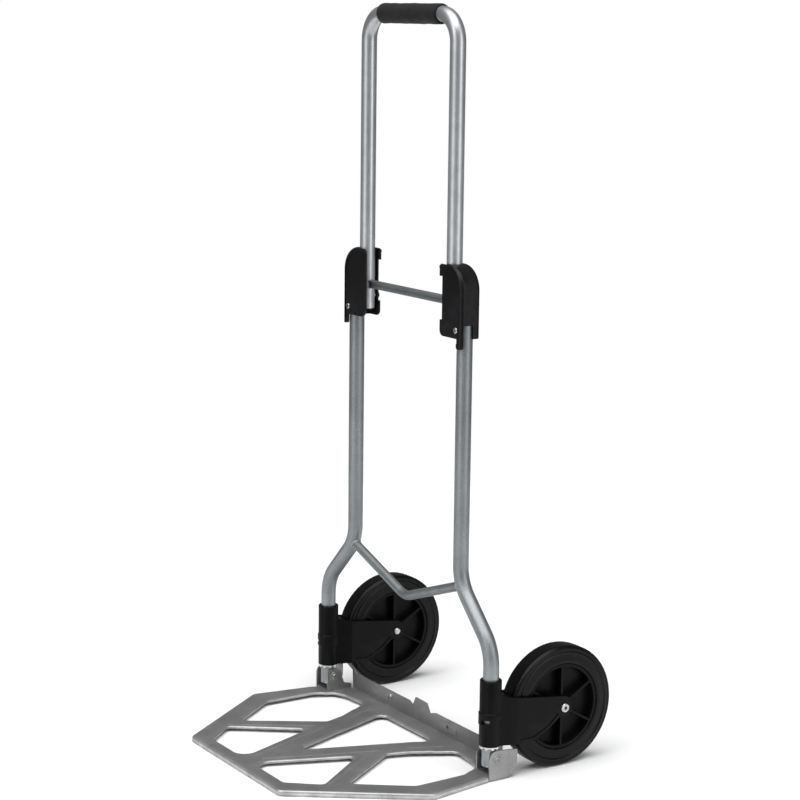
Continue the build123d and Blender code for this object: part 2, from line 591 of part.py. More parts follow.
def hinge_bracket():
    """A U-shaped bracket welded on the plate, whose two ears hold the hinge pin."""
    centre = SWIVEL_HALF
    bracket = Pos(centre, 7, BACK_TOP_Z + EAR_WALL / 2) * Box(2 * (EAR_INSIDE + 1), 34, EAR_WALL)
    inner_low = centre - EAR_INSIDE - EAR_WALL
    outer_low = centre + EAR_INSIDE
    bracket += lengthwise(inner_ear_outline(), inner_low, inner_low + EAR_WALL)
    bracket += lengthwise(outer_ear_outline(), outer_low, outer_low + EAR_WALL)
    return bracket - hinge_bore(HINGE_PIN_R)


def hinge_pin():
    """The rivet through both ears and the frame tube's end, with a flange under each head."""
    reach = EAR_INSIDE + EAR_WALL
    pin = rod(HINGE_PIN_R, -reach, reach, "X")
    for side in (-1, 1):
        head = rod(PIN_HEAD_R, reach, reach + PIN_HEAD, "X")
        head = fillet(head.edges().group_by(Axis.X)[-1], 1.4)
        flange = chamfer(rod(PIN_FLANGE_R, reach, reach + 0.7, "X").edges().group_by(Axis.X)[-1], 0.4)
        for angle in (20, 110):
            head -= Pos(reach + PIN_HEAD, 0, 0) * Rot(angle, 0, 0) * Box(1.0, 5.6, 0.9)
        pin += (head + flange) if side == 1 else mirror(head + flange, about=Plane.YZ)
    return Pos(SWIVEL_HALF, HINGE_Y, HINGE_Z) * pin


def hinge_spacers():
    """Washers on the pin between each ear and the tube, four in all."""
    ring = rod(7.0, TUBE_R + 0.35, EAR_INSIDE, "X") - rod(HINGE_PIN_R, 0, 30, "X")
    both = Pos(SWIVEL_HALF, HINGE_Y, HINGE_Z) * Compound(
        children=[*ring.solids(), *mirror(ring, about=Plane.YZ).solids()])
    return pair(both)


def lip_rivets():
    """Two small rivets through the back lip."""
    rivet = rod(2.0, -SHEET / 2 - 1.4, SHEET / 2 + 1.4, "Y")
    return [Pos(x, LIP_Y, 25) * rivet for x in (-82, 150)]


def write_frame():
    both_sides(frame_tube, "frame_tube")
    save(v_brace(), "v_brace")
    save(foot_plugs(), "frame_foot_plugs")
    save(frame_top_plugs(), "frame_top_plugs")
    save(sleeve_washers(), "fork_rest_washers")


def write_handle():
    save(handle_tube(), "handle_tube")
    save(foam_grip(), "foam_grip")
    save(handle_crossbar(), "handle_crossbar")
    save(leg_plugs(), "handle_leg_plugs")
    both_sides(snap_button, "snap_button")
    both_sides(snap_spring, "snap_spring")


def write_housings():
    front, back = housing_shells(front_hooked=True)
    save(front, "housing_front_shell_right")
    save(back, "housing_back_shell_right")
    front, back = housing_shells(front_hooked=False)
    save(mirror(front, about=Plane.YZ), "housing_front_shell_left")
    save(mirror(back, about=Plane.YZ), "housing_back_shell_left")
    save(housing_rivets(), "housing_rivets")
    both_sides(release_button, "release_button")


def write_wheels():
    for make in (wheel_fork, axle, axle_washers, tyre, wheel_rim, hub_bush):
        both_sides(make, make.__name__)


def write_plate():
    rivets = lip_rivets()
    lip = back_lip()
    for rivet in rivets:
        lip -= rivet
    save(toe_plate(), "toe_plate")
    save(lip, "toe_plate_back_lip")
    save(Compound(children=rivets), "lip_rivets")
    both_sides(hinge_bracket, "hinge_bracket")
    both_sides(hinge_pin, "hinge_pin")
    save(hinge_spacers(), "hinge_spacers")


os.makedirs("parts", exist_ok=True)
write_frame()
write_handle()
write_housings()
write_wheels()
write_plate()
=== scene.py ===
import bmesh
import bpy
import math
import random
from mathutils import Matrix, Vector, geometry, kdtree, noise


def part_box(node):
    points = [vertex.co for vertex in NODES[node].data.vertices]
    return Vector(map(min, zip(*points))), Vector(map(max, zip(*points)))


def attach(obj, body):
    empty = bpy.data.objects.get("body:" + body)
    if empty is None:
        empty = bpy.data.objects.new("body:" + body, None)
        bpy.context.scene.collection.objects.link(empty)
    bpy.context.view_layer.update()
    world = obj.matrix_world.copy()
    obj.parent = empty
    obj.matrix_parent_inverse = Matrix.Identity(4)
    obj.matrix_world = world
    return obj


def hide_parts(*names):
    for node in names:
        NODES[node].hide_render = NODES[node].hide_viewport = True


# Looks for a folding luggage cart. Metres, +Z up, X across the cart, -Y towards the toe plate.

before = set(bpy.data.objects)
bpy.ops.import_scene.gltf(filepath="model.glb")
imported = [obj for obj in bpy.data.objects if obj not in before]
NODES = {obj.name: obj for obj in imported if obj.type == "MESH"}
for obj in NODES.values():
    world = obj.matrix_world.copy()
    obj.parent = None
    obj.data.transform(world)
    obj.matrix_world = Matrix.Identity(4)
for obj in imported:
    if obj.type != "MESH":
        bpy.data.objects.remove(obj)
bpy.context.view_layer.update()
MM = 0.001
SIDES = (("left", -1), ("right", 1))


# ---------------------------------------------------------------- small tools

def middle(node):
    low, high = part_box(node)
    return (low + high) / 2


def link(name, mesh):
    piece = bpy.data.objects.new(name, mesh)
    bpy.context.scene.collection.objects.link(piece)
    return piece


def mesh_from(name, points, faces, smooth_angle=math.radians(40)):
    mesh = bpy.data.meshes.new(name)
    mesh.from_pydata([tuple(p) for p in points], [], faces)
    mesh.update()
    mesh.shade_smooth()
    mesh.set_sharp_from_angle(angle=smooth_angle)
    return mesh


def dress(piece, material, body, replaces=None):
    """Gives a new piece its material, its body and the node that it stands for."""
    piece.data.materials.append(material)
    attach(piece, body)
    if replaces:
        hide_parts(replaces)


def lathe(name, profile, centre, steps, wave):
    """Turns a closed (x, radius) profile round an X axis. wave(angle, index) adds to a radius."""
    points = []
    for step in range(steps):
        angle = 2 * math.pi * step / steps
        for index, (x, radius) in enumerate(profile):
            reach = radius + wave(angle, index)
            points.append(centre + Vector((x, reach * math.sin(angle), reach * math.cos(angle))))
    count = len(profile)
    faces = []
    for step in range(steps):
        here, there = step * count, (step + 1) % steps * count
        for i in range(count):
            j = (i + 1) % count
            faces.append((here + i, there + i, there + j, here + j))
    return mesh_from(name, points, faces)


def arc(cx, cy, radius, start, end, count):
    """Points of a circular arc, with angles in degrees."""
    angles = [math.radians(start + (end - start) * i / (count - 1)) for i in range(count)]
    return [(cx + radius * math.cos(a), cy + radius * math.sin(a)) for a in angles]


def chain(edges):
    """Orders loose edges, as pairs of vertex indices, into closed loops."""
    beside = {}
    for a, b in edges:
        beside.setdefault(a, []).append(b)
        beside.setdefault(b, []).append(a)
    loops, used = [], set()
    for start in beside:
        if start in used:
            continue
        loop, here, before = [start], start, None
        used.add(start)
        while True:
            onward = [n for n in beside[here] if n != before and n not in used]
            if not onward:
                break
            before, here = here, onward[0]
            used.add(here)
            loop.append(here)
        loops.append(loop)
    return loops


def welded(node):
    """A bmesh of a CAD node with its split vertices joined."""
    bm = bmesh.new()
    bm.from_mesh(NODES[node].data)
    bmesh.ops.remove_doubles(bm, verts=bm.verts, dist=1e-6)
    bm.normal_update()
    return bm


def length_of(loop):
    return sum((loop[i] - loop[i - 1]).length for i in range(len(loop)))


def resample(loop, spacing):
    """Evenly spaced points on a closed loop."""
    total = length_of(loop)
    count = max(8, round(total / spacing))
    step, points, walked, target = total / count, [], 0.0, 0.0
    for i, here in enumerate(loop):
        there = loop[(i + 1) % len(loop)]
        span = (there - here).length
        while target <= walked + span + 1e-9 and len(points) < count:
            points.append(here.lerp(there, (target - walked) / span if span else 0))
            target += step
        walked += span
    return points


# ---------------------------------------------------------------- materials

def new_material(name):
    material = bpy.data.materials.new(name)
    material.use_nodes = True
    tree = material.node_tree
    return material, tree, tree.nodes["Principled BSDF"]


def node(tree, kind, **values):
    made = tree.nodes.new(kind)
    for key, value in values.items():
        if key in made.inputs:
            made.inputs[key].default_value = value
        else:
            setattr(made, key, value)
    return made


def place(tree, stretch=(1, 1, 1)):
    """Object coordinates, stretched along the axes for a grain."""
    coords = node(tree, "ShaderNodeTexCoord")
    mapping = node(tree, "ShaderNodeMapping", Scale=stretch)
    tree.links.new(coords.outputs["Object"], mapping.inputs["Vector"])
    return mapping.outputs["Vector"]


def cloud(tree, where, scale, detail=4.0, roughness=0.55):
    made = node(tree, "ShaderNodeTexNoise", Scale=scale, Detail=detail, Roughness=roughness)
    tree.links.new(where, made.inputs["Vector"])
    return made.outputs["Fac"]


def ramp(tree, value, stops):
    """A colour ramp, from (place, grey or colour) stops."""
    made = node(tree, "ShaderNodeValToRGB")
    made.color_ramp.elements[0].position = stops[0][0]
    made.color_ramp.elements[1].position = stops[-1][0]
    for position, _ in stops[1:-1]:
        made.color_ramp.elements.new(position)
    for element, (_, colour) in zip(made.color_ramp.elements, stops):
        tint = colour if isinstance(colour, tuple) else (colour, colour, colour)
        element.color = (*tint, 1)
    tree.links.new(value, made.inputs["Fac"])
    return made.outputs["Color"]


def mix(tree, factor, first, second):
    """The first colour where the factor is black, the second where it is white."""
    made = node(tree, "ShaderNodeMix", data_type="RGBA")
    tree.links.new(factor, made.inputs["Factor"])
    tree.links.new(first, made.inputs["A"])
    tree.links.new(second, made.inputs["B"])
    return made.outputs["Result"]


def multiply(tree, first, second):
    made = node(tree, "ShaderNodeMix", data_type="RGBA", blend_type="MULTIPLY", Factor=1.0)
    tree.links.new(first, made.inputs["A"])
    tree.links.new(second, made.inputs["B"])
    return made.outputs["Result"]


def bump(tree, shader, layers):
    """Adds bump layers, each (height, strength, distance)."""
    normal = None
    for height, strength, distance in layers:
        made = node(tree, "ShaderNodeBump", Strength=strength, Distance=distance)
        tree.links.new(height, made.inputs["Height"])
        if normal:
            tree.links.new(normal, made.inputs["Normal"])
        normal = made.outputs["Normal"]
    tree.links.new(normal, shader.inputs["Normal"])


def edge_mask(tree, low, high):
    """White on outer edges and corners, black elsewhere."""
    shape = node(tree, "ShaderNodeNewGeometry")
    return ramp(tree, shape.outputs["Pointiness"], [(low, 0.0), (high, 1.0)])


def metal(name, dark, light, rough, speckle=0.25, metallic=1.0, grain=(1, 1, 1), wear_and_highlight_gain=1.25,
          wear_and_highlight_edges=(0.52, 0.60)):
    """A coated or plated metal with a cloudy tone, a fine flake and lighter edges: wear, and on the pressed
    plate also a painted highlight along its rolled edges and openings.
    """
    material, tree, shader = new_material(name)
    shader.inputs["Metallic"].default_value = metallic
    where = place(tree)
    grained = place(tree, grain)
    broad = ramp(tree, cloud(tree, where, 22.0), [(0.32, dark), (0.68, light)])
    flake = ramp(tree, cloud(tree, where, 700.0, 3.0), [(0.35, 0.84), (0.65, 1.06)])
    toned = multiply(tree, broad, flake)
    bright = tuple(min(1.0, wear_and_highlight_gain * c) for c in light)
    brightened = ramp(tree, cloud(tree, where, 60.0), [(0.3, light), (0.7, bright)])
    # Lighter edges stand for wear, and on the pressed plate also for a painted highlight.
    colour = mix(tree, edge_mask(tree, *wear_and_highlight_edges), toned, brightened)
    tree.links.new(colour, shader.inputs["Base Color"])
    patches = ramp(tree, cloud(tree, grained, 35.0, 6.0), [(0.3, rough[0]), (0.7, rough[1])])
    tree.links.new(patches, shader.inputs["Roughness"])
    bump(tree, shader, [(cloud(tree, where, 1900.0, 2.0), speckle, 0.00006),
                        (cloud(tree, grained, 120.0, 3.0), 0.18, 0.00025)])
    return material


def moulded(name, tone, rough, specular, texture=0.22):
    """Black moulded plastic with a fine spark-eroded skin, faint flow marks and rubbed edges."""
    material, tree, shader = new_material(name)
    shader.inputs["Specular IOR Level"].default_value = specular
    where = place(tree)
    lighter = tuple(c * 1.7 + 0.0006 for c in tone)
    palest = tuple(c * 3.4 for c in lighter)
    skin = ramp(tree, cloud(tree, where, 28.0, 5.0), [(0.35, tone), (0.7, lighter)])
    rubbed = ramp(tree, cloud(tree, where, 90.0), [(0.35, lighter), (0.75, palest)])
    tree.links.new(mix(tree, edge_mask(tree, 0.53, 0.64), skin, rubbed), shader.inputs["Base Color"])
    patches = ramp(tree, cloud(tree, where, 45.0, 5.0), [(0.3, rough[0]), (0.7, rough[1])])
    tree.links.new(patches, shader.inputs["Roughness"])
    bump(tree, shader, [(cloud(tree, where, 1500.0, 3.0), texture, 0.00010),
                        (cloud(tree, where, 70.0, 2.0), 0.12, 0.0004)])
    return material


def rubber(name):
    """Tyre rubber: matt, a little dusty on the tread, with fine scuffs."""
    material, tree, shader = new_material(name)
    shader.inputs["Specular IOR Level"].default_value = 0.17
    where = place(tree)
    black, grey = (0.0014, 0.0014, 0.0016), (0.003, 0.003, 0.0033)
    base = ramp(tree, cloud(tree, where, 35.0, 6.0), [(0.35, black), (0.72, grey)])
    dust = ramp(tree, cloud(tree, where, 260.0, 4.0), [(0.3, 0.003), (0.8, (0.014, 0.0135, 0.013))])
    tree.links.new(mix(tree, edge_mask(tree, 0.53, 0.66), base, dust), shader.inputs["Base Color"])
    patches = ramp(tree, cloud(tree, where, 55.0, 6.0), [(0.3, 0.22), (0.7, 0.36)])
    tree.links.new(patches, shader.inputs["Roughness"])
    bump(tree, shader, [(cloud(tree, where, 900.0, 4.0), 0.22, 0.00015),
                        (cloud(tree, where, 90.0, 3.0), 0.15, 0.0004)])
    return material


def foam(name):
    """Closed-cell foam: matt black with small open pores."""
    material, tree, shader = new_material(name)
    shader.inputs["Specular IOR Level"].default_value = 0.24
    shader.inputs["Sheen Weight"].default_value = 0.07
    shader.inputs["Sheen Roughness"].default_value = 0.5
    where = place(tree)
    cells = node(tree, "ShaderNodeTexVoronoi", Scale=1500.0)
    tree.links.new(where, cells.inputs["Vector"])
    pores = ramp(tree, cells.outputs["Distance"], [(0.12, 0.0), (0.5, 1.0)])
    black, grey = (0.0035, 0.0035, 0.0045), (0.010, 0.010, 0.0115)
    tone = ramp(tree, cloud(tree, where, 60.0, 5.0), [(0.3, black), (0.7, grey)])
    tree.links.new(tone, shader.inputs["Base Color"])
    patches = ramp(tree, cloud(tree, where, 140.0, 4.0), [(0.3, 0.62), (0.7, 0.82)])
    tree.links.new(patches, shader.inputs["Roughness"])
    bump(tree, shader, [(pores, 0.30, 0.00022), (cloud(tree, where, 160.0, 3.0), 0.30, 0.0006)])
    return material


# Large flat pieces with few vertices get no lighter edges, which would spread over their faces.
NO_WEAR = (0.97, 1.0)

ALONG_TUBE = (1, 1, 0.15)

HANDLE = metal("bright lacquer on handle tube", (0.43, 0.445, 0.46), (0.51, 0.525, 0.54), (0.33, 0.41),
               metallic=0.82, grain=ALONG_TUBE)
TUBE = metal("silver lacquer on tube", (0.245, 0.262, 0.272), (0.295, 0.315, 0.325), (0.38, 0.48),
             metallic=0.8, grain=ALONG_TUBE, speckle=0.4)
# The plate's strongly lighter edges are wear and a painted highlight along its rolled edges and openings.
PLATE = metal("silver lacquer on pressed plate", (0.285, 0.285, 0.285), (0.355, 0.355, 0.353), (0.38, 0.52),
              speckle=0.45, metallic=0.75, wear_and_highlight_gain=1.7, wear_and_highlight_edges=(0.505, 0.545))
LIP = metal("silver lacquer on back lip", (0.255, 0.255, 0.255), (0.32, 0.32, 0.318), (0.36, 0.50),
            speckle=0.45, metallic=0.75, wear_and_highlight_edges=NO_WEAR)
ZINC = metal("bright zinc plating", (0.50, 0.50, 0.50), (0.68, 0.68, 0.67), (0.20, 0.36), speckle=0.15)
BRACE = metal("silver lacquer on brace", (0.165, 0.176, 0.184), (0.215, 0.228, 0.236), (0.46, 0.58),
              metallic=0.75, speckle=0.6)
BRACKET = metal("zinc plating on brackets", (0.29, 0.29, 0.29), (0.38, 0.38, 0.375), (0.30, 0.44),
                speckle=0.4, metallic=0.85, wear_and_highlight_edges=NO_WEAR)
# The weld beads are lighter than the brace and frame tubes they join: a painted lightening against the
# shade that falls in the joints.
WELD = metal("weld bead lacquer painted lighter against shade", (0.28, 0.28, 0.285), (0.40, 0.40, 0.405), (0.34, 0.52), speckle=0.6)
HOUSING = moulded("black moulded housing", (0.0022, 0.0022, 0.0026), (0.30, 0.42), specular=0.22)
FORK = moulded("black moulded fork", (0.0012, 0.0012, 0.0013), (0.34, 0.46), specular=0.12, texture=0.30)
RIM = moulded("black moulded rim", (0.0012, 0.0012, 0.0016), (0.34, 0.48), specular=0.12, texture=0.25)
TYRE = rubber("tyre rubber")
FOAM = foam("closed-cell foam")

SLOT_LOOKS = {"silver_tube": TUBE, "silver_plate": PLATE, "zinc_steel": ZINC, "black_moulding": HOUSING,
              "tyre_rubber": TYRE, "foam": FOAM}
NODE_LOOKS = {"wheel_fork": FORK, "wheel_rim": RIM, "handle_tube": HANDLE, "v_brace": BRACE,
              "handle_crossbar": BRACE, "hinge_bracket": BRACKET, "hinge_pin": BRACKET,
              "toe_plate_back_lip": LIP}


# ---------------------------------------------------------------- CAD nodes that stay

# How wide each kind of piece is rounded along its edges, in millimetres. The housings come rounded.
EDGE_ROUNDING = {"wheel_fork": 0.8, "wheel_rim": 0.5, "hinge_bracket": 0.5, "toe_plate_back_lip": 0.4,
                 "handle_crossbar": 0.25, "axle": 0.2, "hinge_spacers": 0.15, "release_button": 0.2,
                 "snap_button": 0.2, "hinge_pin": 0.1}


def look_of(name, piece):
    """The material of a node: its own look, or the look of the slot that the CAD gave it."""
    for start, material in NODE_LOOKS.items():
        if name.startswith(start):
            return material
    slot = piece.data.materials[0].name.split(".")[0]
    return SLOT_LOOKS[slot]


def finish_cad_nodes():
    """Gives each CAD node its material and softly rounded edges."""
    for name, piece in NODES.items():
        look = look_of(name, piece)
        piece.data.materials.clear()
        piece.data.materials.append(look)
        width = next((w for start, w in EDGE_ROUNDING.items() if name.startswith(start)), None)
        if width is None:
            continue
        piece.modifiers.new("join split corners", "WELD").merge_threshold = 1e-6
        rounding = piece.modifiers.new("rounded edges", "BEVEL")
        rounding.width = width * MM
        rounding.segments = 2
        rounding.limit_method = "ANGLE"
        rounding.angle_limit = math.radians(38)
        rounding.harden_normals = True
        rounding.use_clamp_overlap = True


finish_cad_nodes()


# ---------------------------------------------------------------- foam grip

GRIP_BORE = 10.6 * MM
GRIP_END = 3.2 * MM         # radius of the outer corners
GRIP_MOUTH = 1.2 * MM       # radius of the corners at the bore
GRIP_FULLNESS = 0.30 * MM   # how much fuller the grip is towards its ends
GRIP_WAVE = 0.12 * MM       # depth of the rings round the grip
GRIP_DENTS = 0.35 * MM      # depth of the uneven marks that hands leave


def foam_grip():
    """A soft sleeve, a little fuller towards its ends, with rolled ends and shallow hand marks."""
    low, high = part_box("foam_grip")
    half, radius = (high.x - low.x) / 2, (high.z - low.z) / 2
    side = arc(half - GRIP_END, radius - GRIP_END, GRIP_END, 90, 0, 7)
    side += arc(half - GRIP_MOUTH, GRIP_BORE + GRIP_MOUTH, GRIP_MOUTH, 0, -90, 4)
    body = [(half - GRIP_END) * (i / 24 * 2 - 1) for i in range(1, 24)]
    profile = [(-x, r) for x, r in reversed(side)] + [(x, radius) for x in body] + side
    shaped = []
    for x, r in profile:
        along = x / half
        fullness = GRIP_FULLNESS * (along ** 4 - 0.4) + GRIP_WAVE * math.sin(along * 19)
        shaped.append((x, r + fullness if r > radius - GRIP_END else r))

    def dents(angle, index):
        x, r = shaped[index]
        if r < radius - 2 * GRIP_END / 3:
            return 0.0
        spot = Vector((x * 45, math.cos(angle) * 1.4, math.sin(angle) * 1.4))
        return GRIP_DENTS * (noise.noise(spot) - 0.1)

    piece = link("foam_grip_sleeve", lathe("foam_grip_sleeve", shaped, middle("foam_grip"), 72, dents))
    dress(piece, FOAM, "handle", "foam_grip")


foam_grip()


# ---------------------------------------------------------------- tyres

TREAD_RIBS = 132
TREAD_DEPTH = 0.22 * MM
STEPS_PER_RIB = 5
RIB_SKEW = 0.05             # how far, in radians, the ribs turn from the middle to the sides
RIB_REACH = 2.2 * MM        # how far down from the tread's top the ribs reach
NOTCH_BELOW = -0.45         # a notch is where the wave round the tread is below this
TYRE_HEIGHT = 25 * MM       # from the tyre's seat on the rim to its tread
SHOULDER_R = 5.0 * MM
SHOULDER_INSET = 0.6 * MM   # from the tyre's widest point to its shoulder
CROWN = 0.5 * MM            # how far the tread falls from its middle to its sides

# The side wall from the rim outwards, as (inset from the widest point, height) in millimetres:
# a rounded foot, a shallow dish, and a raised ring below the shoulder.
TYRE_WALL = [(3.0, 0.0), (0.6, 1.2), (0.0, 3.2), (0.5, 6.5), (1.1, 10.5),
             (1.2, 13.6), (0.3, 14.4), (0.1, 15.6), (0.9, 16.8)]


def tyre(name):
    """A solid tyre: dished side walls with a raised ring, a rounded shoulder and a cross-ribbed tread."""
    node_name = f"tyre_{name}"
    low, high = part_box(node_name)
    outer, half = (high.z - low.z) / 2, (high.x - low.x) / 2
    inner = outer - TYRE_HEIGHT
    tread_half = half - SHOULDER_R - SHOULDER_INSET
    right = [(half - inset_mm * MM, inner + height_mm * MM) for inset_mm, height_mm in TYRE_WALL]
    right += arc(tread_half, outer - SHOULDER_R, SHOULDER_R, -8, 78, 8)
    right += [(tread_half * share / 5, outer) for share in (4, 3, 2, 1, 0)]
    profile = right + [(-x, r) for x, r in reversed(right[:-1])]

    def ribs(angle, index):
        x, r = profile[index]
        if r < outer - RIB_REACH:
            return 0.0
        crown = -CROWN * (x / half) ** 2
        skew = RIB_SKEW * math.sin(x / half * math.pi)
        notch = math.cos((angle + skew) * TREAD_RIBS) < NOTCH_BELOW
        return crown - (TREAD_DEPTH if notch else 0.0)

    piece_name = f"tyre_with_tread_{name}"
    mesh = lathe(piece_name, profile, middle(node_name), TREAD_RIBS * STEPS_PER_RIB, ribs)
    dress(link(piece_name, mesh), TYRE, f"wheel_{name}", node_name)


for side_name, _ in SIDES:
    tyre(side_name)


# ---------------------------------------------------------------- toe plate

SHEET = 1.5 * MM
ROLL_R = 2.8 * MM           # radius of the sheet where it rolls down at an edge
OPENING_FLANGE = 3.4 * MM
FLOOR_GAP = 0.4 * MM        # between the outer rim's lower edge and the floor
JOGGLE = 0.5 * MM           # how far the plate's back strip is set down
JOGGLE_WIDTH = 4 * MM
JOGGLE_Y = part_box("hinge_bracket_right")[0].y - 7 * MM      # a little ahead of the brackets
SAG = 0.10 * MM             # how far the sheet is from flat
BEAD_HALF = 3.4 * MM
BEAD_HEIGHT = 0.75 * MM
BEAD_FADE = 4 * MM          # over which a bead runs out towards an edge
FRAME_Y = middle("hinge_pin_right").y - 2.0 * MM            # the frame's plane, ahead of the pins

# Raised beads along the members, as (x, y) ends in millimetres from the middle of the frame's plane.
BEADS = [((136, -204), (69, -104)), ((8, -230), (62, -82)), ((74, -42), (92, 2))]

# Spacing of the points of the sheet's mesh: along its edges, on the beads, and elsewhere.
EDGE_STEP, FINE_STEP, COARSE_STEP = 2.6 * MM, 1.5 * MM, 6.0 * MM
TRIANGLE_HEIGHT = 0.866     # of an even triangle with sides of 1


def plate_loops():
    """The height, the outline and the openings of the plate's top, read from the CAD node."""
    bm = welded("toe_plate")
    top = max(v.co.z for v in bm.verts)
    flat = {f.index for f in bm.faces if f.normal.z > 0.99 and f.calc_center_median().z > top - 1 * MM}
    rim = {}
    for edge in bm.edges:
        if sum(f.index in flat for f in edge.link_faces) == 1:
            ends = frozenset((round(v.co.x, 6), round(v.co.y, 6)) for v in edge.verts)
            rim[ends] = rim.get(ends, 0) + 1
    bm.free()
    # The two levels of the top share the line of the joggle, which counts twice and isn't an edge.
    loops = chain([tuple(ends) for ends, count in rim.items() if count == 1])
    loops = [[Vector((x, y, 0)) for x, y in loop] for loop in loops]
    loops.sort(key=length_of, reverse=True)
    return top, loops


def area_of(loop):
    return sum(loop[i - 1].x * loop[i].y - loop[i].x * loop[i - 1].y for i in range(len(loop))) / 2


def inset(loop, distance):
    """Moves each point of a loop into the material, which lies to the left of the loop's way round."""
    moved = []
    for i, here in enumerate(loop):
        way = (loop[(i + 1) % len(loop)] - loop[i - 1]).normalized()
        moved.append(here + Vector((-way.y, way.x, 0)) * distance)
    return moved


def inside(point, loop):
    odd = False
    for i, b in enumerate(loop):
        a = loop[i - 1]
        if (a.y > point.y) != (b.y > point.y):
            if point.x < a.x + (point.y - a.y) / (b.y - a.y) * (b.x - a.x):
                odd = not odd
    return odd


def bead_lines():
    """The beads' centre lines, on both halves of the plate."""
    lines = []
    for bead in BEADS:
        for mirror in (1, -1):
            lines.append(tuple(Vector((mirror * x * MM, y * MM + FRAME_Y, 0)) for x, y in bead))
    return lines


def off_bead(point, lines):
    """Distance to the nearest bead's centre line."""
    near = 1.0
    for start, end in lines:
        way = end - start
        share = max(0.0, min(1.0, (point - start).dot(way) / way.length_squared))
        near = min(near, (point - start - way * share).length)
    return near


def set_down(y):
    """How far the joggle lowers the sheet at y."""
    share = max(0.0, min(1.0, (y - JOGGLE_Y) / JOGGLE_WIDTH + 0.5))
    return JOGGLE * share * share * (3 - 2 * share)


def rolled_edges(top, loops):
    """Points and faces of the sheet where it rolls down at its edges, and each edge's ring on the top."""
    points, faces, rings = [], [], []
    for index, loop in enumerate(loops):
        loop = resample(loop, EDGE_STEP)
        if (area_of(loop) > 0) != (index == 0):
            loop.reverse()
        depth = top - FLOOR_GAP if index == 0 else OPENING_FLANGE
        profile = [(0.0, top - depth)]
        profile += [(x, top + y) for x, y in arc(ROLL_R, -ROLL_R, ROLL_R, 180, 90, 6)]
        before, count = None, len(loop)
        for distance, z in profile:
            ring = [len(points) + i for i in range(count)]
            points += [Vector((p.x, p.y, max(z - set_down(p.y), FLOOR_GAP))) for p in inset(loop, distance)]
            if before:
                faces += [(before[i], before[(i + 1) % count], ring[(i + 1) % count], ring[i])
                          for i in range(count)]
            before = ring
        rings.append(before)
    return points, faces, rings


def on_sheet(spot, borders):
    """True inside the outline, which comes first, and outside the openings."""
    return inside(spot, borders[0]) and not any(inside(spot, b) for b in borders[1:])


def sown(spacing, wanted, edge_tree, borders):
    """Points in even triangles over the sheet where wanted(spot), clear of its edges."""
    low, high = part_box("toe_plate")
    spots, row, y = [], 0, low.y
    while y < high.y:
        x = low.x + (spacing / 2 if row % 2 else 0)
        while x < high.x:
            spot = Vector((x, y, 0))
            clear = edge_tree.find(spot)[2] > 0.45 * spacing + 0.4 * MM
            if clear and wanted(spot) and on_sheet(spot, borders):
                spots.append(Vector((x, y)))
            x += spacing
        y += spacing * TRIANGLE_HEIGHT
        row += 1
    return spots


def ring_edges(rings):
    """The edges of the rings, as pairs of indices into all of the rings' points in turn."""
    edges, offset = [], 0
    for ring in rings:
        count = len(ring)
        edges += [(offset + i, offset + (i + 1) % count) for i in range(count)]
        offset += count
    return edges


def add_top(points, faces, rings, top):
    """Adds the sheet's top between its rings: beads along its members, and a joggle near its back."""
    lookup = [i for ring in rings for i in ring]
    borders = [[points[i] for i in ring] for ring in rings]
    edge_tree = kdtree.KDTree(len(lookup))
    for i, source in enumerate(lookup):
        edge_tree.insert((points[source].x, points[source].y, 0), i)
    edge_tree.balance()
    lines = bead_lines()
    flat = [Vector((points[i].x, points[i].y)) for i in lookup]
    near = BEAD_HALF + FINE_STEP
    flat += sown(FINE_STEP, lambda spot: off_bead(spot, lines) < near, edge_tree, borders)
    away = near + COARSE_STEP / 3
    flat += sown(COARSE_STEP, lambda spot: off_bead(spot, lines) >= away, edge_tree, borders)
    verts, _, triangles, origin, _, _ = geometry.delaunay_2d_cdt(flat, ring_edges(rings), [], 0, 1e-7)
    place_of = []
    for i, v in enumerate(verts):
        source = next((o for o in origin[i] if o < len(lookup)), None)
        if source is not None:
            place_of.append(lookup[source])
            continue
        spot = Vector((v.x, v.y, 0))
        across = min(1.0, off_bead(spot, lines) / BEAD_HALF)
        fade = min(1.0, edge_tree.find(spot)[2] / BEAD_FADE)
        height = BEAD_HEIGHT * (0.5 + 0.5 * math.cos(across * math.pi)) * fade
        sag = SAG * noise.noise(spot * 28)
        place_of.append(len(points))
        points.append(Vector((v.x, v.y, top + height + sag * fade - set_down(v.y))))
    for triangle in triangles:
        centre = sum((verts[i] for i in triangle), Vector((0, 0))) / 3
        if on_sheet(Vector((centre.x, centre.y, 0)), borders):
            corners = [place_of[i] for i in triangle]
            a, b, c = (points[i] for i in corners)
            if (b - a).cross(c - a).z < 0:
                corners.reverse()
            faces.append(tuple(corners))


def turn_upwards(mesh):
    """Turns all faces of a sheet the same way, with its top facing up."""
    bm = bmesh.new()
    bm.from_mesh(mesh)
    bmesh.ops.recalc_face_normals(bm, faces=bm.faces)
    if sum(f.normal.z * f.calc_area() for f in bm.faces) < 0:
        bmesh.ops.reverse_faces(bm, faces=bm.faces)
    bm.to_mesh(mesh)
    bm.free()


def toe_plate():
    """The pressed sheet: edges rolled down all round, beads along its members."""
    top, loops = plate_loops()
    points, faces, rings = rolled_edges(top, loops)
    add_top(points, faces, rings, top)
    mesh = mesh_from("pressed_toe_plate", points, faces, math.radians(50))
    turn_upwards(mesh)
    piece = link("pressed_toe_plate", mesh)
    thickness = piece.modifiers.new("sheet thickness", "SOLIDIFY")
    thickness.thickness = SHEET
    thickness.offset = -1.0
    dress(piece, PLATE, "plate", "toe_plate")


toe_plate()


# ---------------------------------------------------------------- weld beads

SHARP = 0.6                 # radians between two faces that meet in a sharp edge
END_LENGTH = 12 * MM        # how much of a piece's length counts as its end


